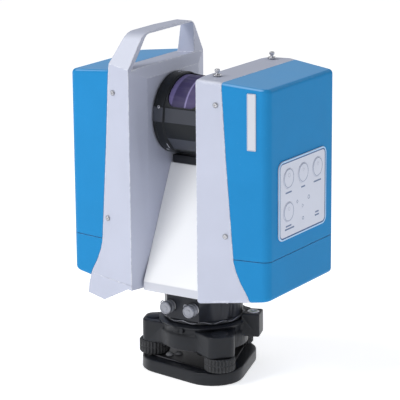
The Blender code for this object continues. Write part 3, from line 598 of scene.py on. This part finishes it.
def front_screws():
    """The screws of the frames' front plates, each on a washer."""
    for node in [n for n in SLOT if n.startswith("cover_screw")]:
        low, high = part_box(node)
        side = 1 if low.x > 0 else -1
        lean = Vector((side * FRONT_LEAN[0], FRONT_LEAN[1], 0))
        foot = (low + high) / 2 - lean * 0.35 * MM
        place = facing(foot, lean)
        stand_in(node, f"{node}_head", screw_head(2.5 * MM, 1.0 * MM), place)
        profile = [(0, -0.2 * MM), (SEAT_RADIUS, -0.2 * MM), (SEAT_RADIUS, 0.1 * MM), (0, 0.1 * MM)]
        piece(f"{node}_seat", lathe(profile, 36), SATIN_NICKEL, "alidade", place=place)


def rear_screws():
    """The screws of the frames' rear plates, which mirror the front ones."""
    for side, word in ((-1, "left"), (1, "right")):
        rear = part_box(f"{word}_frame")[1].y
        lean = Vector((side * REAR_LEAN[0], REAR_LEAN[1], 0))
        for level, (x, z) in REAR_SCREWS.items():
            y = rear - (x - REAR_TIP_X) * MM * REAR_SLOPE - 0.5 * MM
            place = facing((side * x * MM, y, z * MM), lean)
            shape = screw_head(2.9 * MM, 1.0 * MM)
            piece(f"rear_screw_{word}_{level}", shape, LOOKS["steel"], "alidade", place=place)


def label():
    """The blank rating plate: a bevelled white strip with a thin printed border."""
    low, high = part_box("label_plate")
    width = math.hypot(high.x - low.x, (high.y - low.y) - 0.6 * MM)
    tall = high.z - low.z
    place = facing((low + high) / 2, (*FRONT_LEAN, 0))
    strip = prism(rounded(width, tall, 1.2 * MM), -0.25 * MM, 0.3 * MM, 0.12 * MM)
    stand_in("label_plate", "label_strip", strip, place)
    outer = rounded(width - 1.2 * MM, tall - 1.2 * MM, 0.9 * MM)
    inner = rounded(width - 1.8 * MM, tall - 1.8 * MM, 0.6 * MM)
    border = frame_line(outer, inner, 0.2 * MM, 0.34 * MM)
    piece("label_border", border, INK, "alidade", place=place)


def thumb_screws():
    """Knurled clamping screws, each on a dished washer."""
    rim = flutes(22, 0.09)
    for word in ("front", "rear"):
        node = f"thumb_screw_{word}"
        low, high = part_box(node)
        tall = high.z - low.z
        wide = (high.x - low.x) / 2
        profile = [
            (0, 0),
            (wide, 0),
            (wide, 0.9 * MM),
            (wide * 0.86, 1.6 * MM),
            (2.4 * MM, 2.1 * MM),
            (2.1 * MM, 2.6 * MM),
            (2.1 * MM, tall * 0.52),
            (3.0 * MM, tall * 0.57),
            (3.35 * MM, tall * 0.62, rim),
            (3.35 * MM, tall * 0.9, rim),
            (2.9 * MM, tall * 0.97),
            (1.8 * MM, tall),
            (1.5 * MM, tall * 0.95),
            (0, tall * 0.94),
        ]
        foot = Matrix.Translation(((low.x + high.x) / 2, (low.y + high.y) / 2, low.z))
        stand_in(node, f"{node}_knurled", lathe(profile, 88), foot, crease=30)


# ---- Keypad ----

KEYPAD_CORNER = 9.5  # millimetres, to the panel's outer edge
KEY_HOLE = 12.6 * MM  # radius
CAPTION_HEIGHT = 2  # millimetres, as are the widths
CAPTION_WIDTHS = {"key_power": 15, "key_start": 10, "key_select": 19, "key_back": 14}
KEY_SIGN_SIDES = {"key_power": 24, "key_start": 3, "key_select": 4, "key_back": 6}
SIGNS = (  # name, Y, Z and radius in millimetres, and number of sides
    ("sleep", 16.9, 244, 2.6, 20),
    ("clock", -11.7, 244, 2.4, 4),
    ("ready", 1.6, 236, 3, 3),
    ("store", 2.7, 220, 2.4, 6),
)


def keypad():
    """The film keypad: a pale plate with a raised rim, a painted shadow line for the groove inside it,
    printed rings and plain signs.
    """
    low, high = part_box("keypad_panel")
    wide, tall = high.y - low.y, high.z - low.z
    depth = high.x - low.x
    face = depth * 0.8
    centre = ((low.y + high.y) / 2, (low.z + high.z) / 2)
    place = Matrix.Translation((low.x, 0, 0)) @ SIDE
    plate = prism(rounded(wide, tall, KEYPAD_CORNER * MM, centre), 0, face, 0.3 * MM)
    panel = stand_in("keypad_panel", "keypad_plate", plate, place)
    keys = [n for n in SLOT if n.startswith("key_")]
    for node in keys:
        spot = middle(node)
        hole = prism(circle(KEY_HOLE, (spot.y, spot.z), 56), -MM, 4 * MM)
        hole.transform(place)
        cut(panel, hole)

    def border(name, out, width, look, low_x, high_x):
        """A line that follows the panel's edge, from out to out + width millimetres inside it."""
        outlines = []
        for step in (out, out + width):
            size = (wide - 2 * step * MM, tall - 2 * step * MM)
            outlines.append(rounded(*size, (KEYPAD_CORNER - step) * MM, centre))
        shape = frame_line(*outlines, low_x * MM, high_x * MM)
        piece(name, shape, look, "alidade", place=place)

    top = face / MM
    border("keypad_rim", 0.2, 1.7, PALE_EDGE, top - 0.5, depth / MM)
    # A painted shadow: a dark line laid on the face where the groove's shade falls.
    border("keypad_groove_shadow", 1.9, 1.7, SHADOW_LINE, top - 0.5, top + 0.06)

    printed = (top * MM - 0.3 * MM, top * MM + 0.05 * MM)
    for node in keys:
        key(node)
        caption(node, place, printed)
    for name, y, z, size, sides in SIGNS:
        outer, inner = (circle(r * MM, (y * MM, z * MM), sides) for r in (size, size - 0.8))
        shape = frame_line(outer, inner, *printed)
        piece(f"sign_{name}", shape, INK, "alidade", place=place)
    shape = bars([(38, 220.4, 9), (38, 216.4, 11)], printed)
    piece("sign_mode", shape, INK, "alidade", place=place)


def key(node):
    """A round key: a shallow dish with a printed ring and a small moulded sign."""
    low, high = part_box(node)
    top = high.x - low.x
    radius = (high.y - low.y) / 2
    spot = middle(node)
    place = Matrix.Translation((low.x, spot.y, spot.z)) @ SIDE
    profile = [
        (0, 0),
        (radius, 0),
        (radius, top - 0.6 * MM),
        (radius - 0.25 * MM, top - 0.32 * MM),
        (radius - 0.9 * MM, top - 0.22 * MM),
        (radius - 1.6 * MM, top - 0.3 * MM),
        (radius * 0.6, top - 0.1 * MM),
        (0, top),
    ]
    stand_in(node, f"{node}_cap", lathe(profile, 56), place, crease=50)
    outer, inner = (circle(radius - inset * MM, steps=56) for inset in (0.75, 1.35))
    ring = frame_line(outer, inner, top - 0.5 * MM, top - 0.18 * MM)
    piece(f"{node}_ring", ring, INK, BODY[node], place=place)
    outer, inner = (circle(r * MM, (0, 4 * MM), KEY_SIGN_SIDES[node]) for r in (2.6, 2.1))
    sign = frame_line(outer, inner, top - 0.5 * MM, top)
    piece(f"{node}_sign_piece", sign, KEY_SIGN, BODY[node], place=place)


def bars(items, printed):
    """Plain printed bars, each from its middle and its width in millimetres."""
    shape = bmesh.new()
    for y, z, width in items:
        size = (width * MM, CAPTION_HEIGHT * MM, CAPTION_HEIGHT * 0.45 * MM)
        extra = prism(rounded(*size, (y * MM, z * MM), 3), *printed)
        mesh = bpy.data.meshes.new("bar")
        extra.to_mesh(mesh)
        extra.free()
        shape.from_mesh(mesh)
        bpy.data.meshes.remove(mesh)
    return shape


def caption(node, place, printed):
    """The plain bars under a key, in place of printed words."""
    spot = middle(node)
    y, z = spot.y / MM, spot.z / MM
    items = [(y, z - 17.8, CAPTION_WIDTHS[node])]
    if node == "key_back":
        items.append((y + 2.5, z - 21.6, 23))
    piece(f"{node}_caption", bars(items, printed), INK, "alidade", place=place)


# ---- Rotor ----


UPPER_FLATS = ((6.5, 10.5), (173.5, 10.5))  # middle and half-width, in degrees from the front
LOWER_FLATS = ((-41.5, 12.5), (221.5, 12.5))
RIM_OVER_DRUM = 1.5 * MM  # how far the rims stand out from the drum between them
INNER_END = 34 * MM  # half the hollow's length
WALL = 4.6 * MM
WINDOW_TILT = math.radians(68)
WINDOW = (48 * MM, 76 * MM, 12 * MM)  # the opening's width, length and corner radius
RIM_SCREWS = 5  # on each rim
FIRST_RIM_SCREW = 17  # degrees up from the front
RIM_SCREW_X = 33 * MM
INDEX_ANGLE = math.radians(-44)
# Turns a lathed mesh's axis to X, with its angle 0 facing forwards.
ALONG_X = Matrix(((0, 0, 1, 0), (-1, 0, 0, 0), (0, 1, 0, 0), (0, 0, 0, 1)))


def flattened(angle, flats):
    """A turned surface's relative reach at an angle in the YZ plane, with machined flats."""
    for centre, half in flats:
        away = (math.degrees(angle) - centre + 180) % 360 - 180
        if abs(away) < half:
            return math.cos(math.radians(half)) / math.cos(math.radians(away))
    return 1


def rotor():
    """The drum with its rims, machined flats, window opening, and the rims' screws."""
    low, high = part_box("rotor_drum")
    centre = (low + high) / 2
    rim = (high.z - low.z) / 2
    half = (high.x - low.x) / 2
    drum = rim - RIM_OVER_DRUM
    flat = lambda angle: flattened(angle, UPPER_FLATS + LOWER_FLATS)
    upper = lambda angle: flattened(angle, UPPER_FLATS)
    profile = [
        (0, -half),
        (11 * MM, -half),
        (11.4 * MM, -half + 0.6 * MM),
        (34 * MM, -half + 0.6 * MM),
        (34.4 * MM, -half),
        (rim - 1.2 * MM, -half),
        (rim, -half + 1.2 * MM, upper),
        (rim, -half + 3.4 * MM, upper),
        (rim - 0.4 * MM, -half + 3.8 * MM, upper),
        (rim - 0.4 * MM, -half + 4.6 * MM, upper),
        (rim, -half + 5 * MM, upper),
        (rim, -26.5 * MM, upper),
        (rim - 0.8 * MM, -25.6 * MM, upper),
        (drum + 0.2 * MM, -25.4 * MM, upper),
        (drum, -24.6 * MM, flat),
    ]
    mirrored = [(r, -x, *form) for r, x, *form in reversed(profile)]
    place = Matrix.Translation(centre) @ ALONG_X
    made = stand_in("rotor_drum", "rotor_shell", lathe(profile + mirrored, 240), place, ROTOR_BLACK, 8)
    wall = drum - WALL
    inner = lathe([(0, -INNER_END), (wall, -INNER_END), (wall, INNER_END), (0, INNER_END)], 96)
    inner.transform(place)
    cut(made, inner, 8)
    cut(made, window_opening(centre), 8)
    rim_screws(centre, rim)
    rotor_flats(centre, rim, drum, half)
    away = outward(INDEX_ANGLE)
    spot = centre + away * (rim - 0.15 * MM) + Vector((-27.6 * MM, 0, 0))
    mark = prism(rounded(0.9 * MM, 9 * MM, 0.4 * MM), -0.1 * MM, 0.25 * MM)
    piece("index_mark", mark, LOOKS["white_film"], "rotor", place=facing(spot, away))
    refined("rotor_window")
    refined("scan_mirror")
    for word in ("left", "right"):
        refined(f"rotor_shaft_{word}")
        refined(f"rotor_bearing_{word}")


def window_opening(centre):
    """The rounded rectangle that the window looks out of."""
    out = outward(WINDOW_TILT)
    across = Vector((1, 0, 0))
    axes = Matrix((across, out.cross(across), out)).transposed().to_4x4()
    opening = prism(rounded(*WINDOW), 20 * MM, 60 * MM)
    opening.transform(Matrix.Translation(centre) @ axes)
    return opening


def rim_screws(centre, rim):
    """Small screws set into the rims, evenly spaced."""
    for side, word in ((-1, "left"), (1, "right")):
        for i in range(RIM_SCREWS):
            away = outward(math.radians(FIRST_RIM_SCREW + 360 / RIM_SCREWS * i))
            spot = centre + away * (rim - 0.25 * MM) + Vector((side * RIM_SCREW_X, 0, 0))
            shape = screw_head(1.9 * MM, 0.5 * MM)
            piece(f"rim_screw_{word}_{i}", shape, LOOKS["steel"], "rotor", place=facing(spot, away))


def rotor_flats(centre, rim, drum, half):
    """The flats' satin faces, partly a painted highlight: across the rims and the drum above, and on the drum
    below.
    """
    middle_of_rim = (half + 26 * MM) / 2
    wide_rim = half - 27 * MM
    strips = [(flat, side * middle_of_rim, wide_rim, rim) for flat in UPPER_FLATS for side in (-1, 1)]
    strips += [(flat, 0, 48 * MM, drum) for flat in UPPER_FLATS + LOWER_FLATS]
    for i, ((degrees, spread), x, wide, radius) in enumerate(strips):
        angle, spread = math.radians(degrees), math.radians(spread)
        away = outward(angle)
        spot = centre + Vector((x, 0, 0)) + away * radius * math.cos(spread)
        face = rounded(wide, 2 * radius * math.sin(spread) - 0.6 * MM, 0.4 * MM, steps=2)
        shape = prism(face, -0.3 * MM, 0.08 * MM)
        piece(f"rotor_flat_satin_and_sheen_{i}", shape, ROTOR_FLAT_SATIN_AND_SHEEN, "rotor", place=facing(spot, away))


# ---- Base and tribrach ----

SCALLOPS = 16  # round the adapter's rim
WORN_WAVES = 12
BASE_SCREWS = (  # degrees round from the right, Z and head radius in millimetres
    (-40, 107, 1.1),
    (None, 112, 1.4),  # on the flat front, between the sockets
    (-22, 100, 1.1),
    (40, 104, 1.1),
    (140, 104, 1.1),
    (220, 104, 1.1),
)
FLAT_SCREW_X = 3 * MM
INDEX_TABS = (-97, -88)  # degrees round from the right
TAB_REACH = 57  # millimetres
TAB_Z = 66 * MM
SPRING_BUTTONS = ((-36.5, -25.5), (-28.5, -16.3))  # X and Y in millimetres


def caps():
    """The sockets' screw caps: knurled rims, turned faces, and the eyelets of their lost lanyards."""
    rim = flutes(40, 0.05)
    for word in ("left", "right"):
        node = f"connector_cap_{word}"
        low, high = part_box(node)
        x, z = (low.x + high.x) / 2, (low.z + high.z) / 2
        wide = (high.z - low.z) / 2
        deep = high.y - low.y
        profile = [
            (6 * MM, 0),
            (wide - 0.4 * MM, 0),
            (wide, 0.4 * MM, rim),
            (wide, deep * 0.36, rim),
            (wide - 0.7 * MM, deep * 0.4),
            (wide - 0.7 * MM, deep * 0.48),
            (wide, deep * 0.52, rim),
            (wide, deep - 1.5 * MM, rim),
            (wide - 0.9 * MM, deep - 0.5 * MM),
            (wide - 1.3 * MM, deep),
            (wide - 2.1 * MM, deep),
            (wide - 2.5 * MM, deep - 0.7 * MM),
            (wide - 4.9 * MM, deep - 0.7 * MM),
            (wide - 5.3 * MM, deep - 0.1 * MM),
            (0, deep - 0.1 * MM),
            (0, deep - 6.5 * MM),
            (6 * MM, deep - 6.5 * MM),
        ]
        place = facing((x, high.y, z), (0, -1, 0))
        shape = lathe(profile, 120, closed=True)
        stand_in(node, f"{node}_knurled", shape, place, SATIN_NICKEL, crease=30)
        eye = Vector((x - wide * 0.86, high.y - deep * 0.44, z + wide * 0.55))
        loop = torus(2.4 * MM, 0.7 * MM)
        aim = facing(eye, (0.25, -0.97, 0))
        piece(f"cap_eyelet_{word}", loop, SATIN_NICKEL, BODY[node], place=aim)
        refined(f"connector_{word}")


def flange():
    """The adapter's scalloped rim, with the bright edge where its paint has come away."""
    low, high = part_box("adapter_flange")
    wide = (high.x - low.x) / 2 - 0.7 * MM
    tall = high.z - low.z
    wave = lambda angle: 1 + 0.012 * math.cos(SCALLOPS * angle)
    profile = [(0, 0), (wide - 1.5 * MM, 0), (wide, 1.2 * MM, wave), (wide, tall - 1.4 * MM, wave)]
    profile += [(wide - 1 * MM, tall - 0.4 * MM, wave), (wide - 2 * MM, tall), (0, tall)]
    place = Matrix.Translation((0, 0, low.z))
    stand_in("adapter_flange", "adapter_rim", lathe(profile, 192), place)
    bright = torus(wide + 0.1 * MM, 0.5 * MM, 192, 8)
    for vertex in bright.verts:
        angle = math.atan2(vertex.co.y, vertex.co.x)
        vertex.co.z += tall * 0.62 + 1.2 * MM * math.cos(WORN_WAVES * angle)
    piece("adapter_worn_edge", bright, SATIN_NICKEL, "tribrach", place=place)


def base():
    """The fixed housing, with its screws and the tribrach's index tabs."""
    refined("instrument_base", BASE_BLACK)
    refined("tribrach_body")
    low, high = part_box("instrument_base")
    radius = (high.x - low.x) / 2
    for i, (degrees, z, size) in enumerate(BASE_SCREWS):
        if degrees is None:
            away = Vector((0, -1, 0))
            spot = Vector((FLAT_SCREW_X, low.y, z * MM))
        else:
            away = around(degrees)
            spot = away * radius + Vector((0, 0, z * MM))
        shape = screw_head(size * MM, 0.5 * MM)
        piece(f"base_screw_{i}", shape, LOOKS["steel"], "tribrach", place=facing(spot, away))
    for i, degrees in enumerate(INDEX_TABS):
        away = around(degrees)
        place = facing(away * TAB_REACH * MM + Vector((0, 0, TAB_Z)), away)
        tab = prism(rounded(5.2 * MM, 6.5 * MM, 1 * MM), -3 * MM, 2 * MM, 0.5 * MM)
        piece(f"index_tab_{i}", tab, LOOKS["black_paint"], "tribrach", place=place)


def level():
    """The circular level: a bright bezel round a glass with green fluid, a ring and a bubble."""
    low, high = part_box("circular_level")
    centre = (low + high) / 2
    wide = (high.x - low.x) / 2
    place = Matrix.Translation((centre.x, centre.y, high.z))
    glass = [(0, -5 * MM), (wide, -5 * MM), (wide, -1.2 * MM), (wide - 0.5 * MM, -0.6 * MM)]
    glass += [(wide * 0.6, -0.25 * MM), (0, 0)]
    stand_in("circular_level", "level_glass_dome", lathe(glass, 48), place)
    bezel = [
        (wide - 0.9 * MM, -0.9 * MM),
        (wide - 0.6 * MM, -0.3 * MM),
        (wide + 1.1 * MM, -0.3 * MM),
        (wide + 1.6 * MM, -0.75 * MM),
        (wide + 1.6 * MM, -1.6 * MM),
        (wide - 0.9 * MM, -1.6 * MM),
    ]
    shape = lathe(bezel, 64, closed=True)
    piece("level_bezel", shape, LOOKS["aluminium"], "tribrach", place=place)
    shape = lathe([(0, -0.4 * MM), (1.9 * MM, -0.4 * MM), (1.6 * MM, 0.05 * MM), (0, 0.15 * MM)], 32)
    piece("level_bubble", shape, LOOKS["white_film"], "tribrach", place=place)
    ring = frame_line(circle(3 * MM), circle(2.6 * MM), -0.8 * MM, 0.02 * MM)
    piece("level_circle", ring, INK, "tribrach", place=place)


def foot_screws():
    """Knurled levelling knobs, each with a dished top and a turned spindle."""
    rim = flutes(26, 0.085)
    for word in ("left", "front", "right"):
        node = f"foot_screw_{word}"
        low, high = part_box(node)
        centre = (low + high) / 2
        wide = (high.x - low.x) / 2
        bottom = 6.8 * MM
        top = 24.2 * MM
        profile = [
            (0, 0),
            (1.6 * MM, 0.5 * MM),
            (3.6 * MM, 2.6 * MM),
            (4 * MM, bottom),
            (9 * MM, bottom),
            (9.4 * MM, bottom + 0.8 * MM),
            (wide - 3 * MM, bottom + 0.8 * MM),
            (wide - 2.2 * MM, bottom),
            (wide - 1.2 * MM, bottom + 0.1 * MM),
            (wide, bottom + 1.6 * MM, rim),
            (wide, bottom + 8 * MM, rim),
            (wide - 0.9 * MM, bottom + 8.5 * MM),
            (wide - 0.9 * MM, bottom + 9.3 * MM),
            (wide, bottom + 9.8 * MM, rim),
            (wide, top - 1.8 * MM, rim),
            (wide - 1.6 * MM, top - 0.2 * MM),
            (wide - 2.6 * MM, top),
            (wide - 4 * MM, top - 1 * MM),
            (8.5 * MM, top - 1 * MM),
            (7.5 * MM, top),
            (4 * MM, top),
            (4 * MM, high.z - low.z),
            (0, high.z - low.z),
        ]
        place = Matrix.Translation((centre.x, centre.y, low.z))
        stand_in(node, f"{node}_knurled", lathe(profile, 156), place, crease=30)


def plates():
    """The base plate, bush, lock lever, and the spring plate with its two rubber buttons.

    The buttons are painted lighter so that they show in the shade under the tribrach body: painted light.
    """
    refined("base_plate")
    refined("tripod_bush", DARK_BRONZE)
    refined("spring_plate", SPRING_STEEL)
    refined("lock_lever")
    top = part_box("spring_plate")[1].z
    for i, (x, y) in enumerate(SPRING_BUTTONS):
        button = [(0, -0.3 * MM), (5.5 * MM, -0.3 * MM), (5.2 * MM, 1.2 * MM), (3.6 * MM, 2.8 * MM)]
        button += [(1.6 * MM, 3.4 * MM), (0, 3.5 * MM)]
        spot = Matrix.Translation((x * MM, y * MM, top))
        piece(f"spring_button_{i}", lathe(button, 40), RUBBER_WITH_PAINTED_LIGHT, "tribrach", place=spot)


def inner_parts():
    """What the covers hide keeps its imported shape, and gets its finish."""
    for node, thing in frame["nodes"].items():
        if not thing.hide_render:
            for slot in thing.material_slots:
                slot.material = LOOKS[SLOT[node]]


# ---- Studio ----

FLOOR_GLOW = 0.54
SKY_STRENGTH = 0.42
LAMPS = (  # name, place and size in metres, and power in watts
    ("key", (-1.3, -2.4, 2.3), 1.3, 50),
    ("rim", (0.6, 2.2, 1.8), 1.2, 10),
    ("strip", (0.9, -2.2, 0.5), 0.25, 3),
    ("top", (-1.2, -0.5, 2.3), 0.25, 7),
    ("side", (2.6, -0.9, 0.9), 1.2, 3.3),
)
LAMP_TARGET = Vector((0, 0, 0.25))
VIEW_ANGLES = (32.31, 13.32, -0.463)  # degrees: azimuth, elevation and roll
VIEW_DISTANCE = 2.6
VIEW_TARGET = Vector((0, 0, 0.273))
VIEW_AIM = (0.00135, 0.01807)  # how far left and down of the target the lens points, as tangents
FOCAL_LENGTH = 184.45
SENSOR_WIDTH = 36


def studio():
    """A pale floor, a pale sky, a soft key light from the front left, and weaker lamps round the object."""
    shape = bmesh.new()
    bmesh.ops.create_grid(shape, x_segments=1, y_segments=1, size=30)
    mesh = bpy.data.meshes.new("floor")
    shape.to_mesh(mesh)
    shape.free()
    floor = bpy.data.objects.new("floor", mesh)
    bpy.context.scene.collection.objects.link(floor)
    look = Look("floor_paper")
    cloud = look.noise(3, 2)
    base = look.blend(look.spread(cloud, 0.3, 0.7), (0.9, 0.9, 0.9), (0.92, 0.92, 0.92))
    look.shader.inputs["Emission Color"].default_value = (1, 1, 1, 1)
    look.shader.inputs["Emission Strength"].default_value = FLOOR_GLOW
    mesh.materials.append(look.finish(base, look.spread(cloud, 0.3, 0.7, 0.8, 0.9), None))
    world = bpy.data.worlds.new("studio")
    world.use_nodes = True
    world.node_tree.nodes["Background"].inputs["Color"].default_value = (0.97, 0.98, 1.0, 1)
    world.node_tree.nodes["Background"].inputs["Strength"].default_value = SKY_STRENGTH
    bpy.context.scene.world = world
    for name, place, size, power in LAMPS:
        lamp(name, place, size, power)


def lamp(name, place, size, power):
    """A square lamp that shines at the object."""
    light = bpy.data.lights.new(name, "AREA")
    light.size = size
    light.energy = power
    thing = bpy.data.objects.new(name, light)
    bpy.context.scene.collection.objects.link(thing)
    thing.matrix_world = facing(place, Vector(place) - LAMP_TARGET)


def camera():
    """The viewpoint, 32 degrees round to the right and 13 degrees above the horizon."""
    azimuth, elevation, roll = (math.radians(a) for a in VIEW_ANGLES)
    back = Vector((
        math.sin(azimuth) * math.cos(elevation),
        -math.cos(azimuth) * math.cos(elevation),
        math.sin(elevation),
    ))
    across = (-back).cross(Vector((0, 0, 1))).normalized()
    upward = across.cross(-back)
    right = math.cos(roll) * across + math.sin(roll) * upward
    up = -math.sin(roll) * across + math.cos(roll) * upward
    ahead = (-back - VIEW_AIM[0] * right - VIEW_AIM[1] * up).normalized()
    right = ahead.cross(up).normalized()
    up = right.cross(ahead)
    lens = bpy.data.cameras.new("camera")
    lens.sensor_width = SENSOR_WIDTH
    lens.lens = FOCAL_LENGTH
    lens.clip_end = 100
    thing = bpy.data.objects.new("camera", lens)
    bpy.context.scene.collection.objects.link(thing)
    turn = Matrix((right, up, -ahead)).transposed().to_4x4()
    thing.matrix_world = Matrix.Translation(VIEW_TARGET + back * VIEW_DISTANCE) @ turn
    bpy.context.scene.camera = thing


housings()
front_screws()
rear_screws()
label()
thumb_screws()
keypad()
rotor()
caps()
flange()
base()
level()
foot_screws()
plates()
inner_parts()
studio()
camera()
bpy.context.scene.view_settings.view_transform = "Standard"
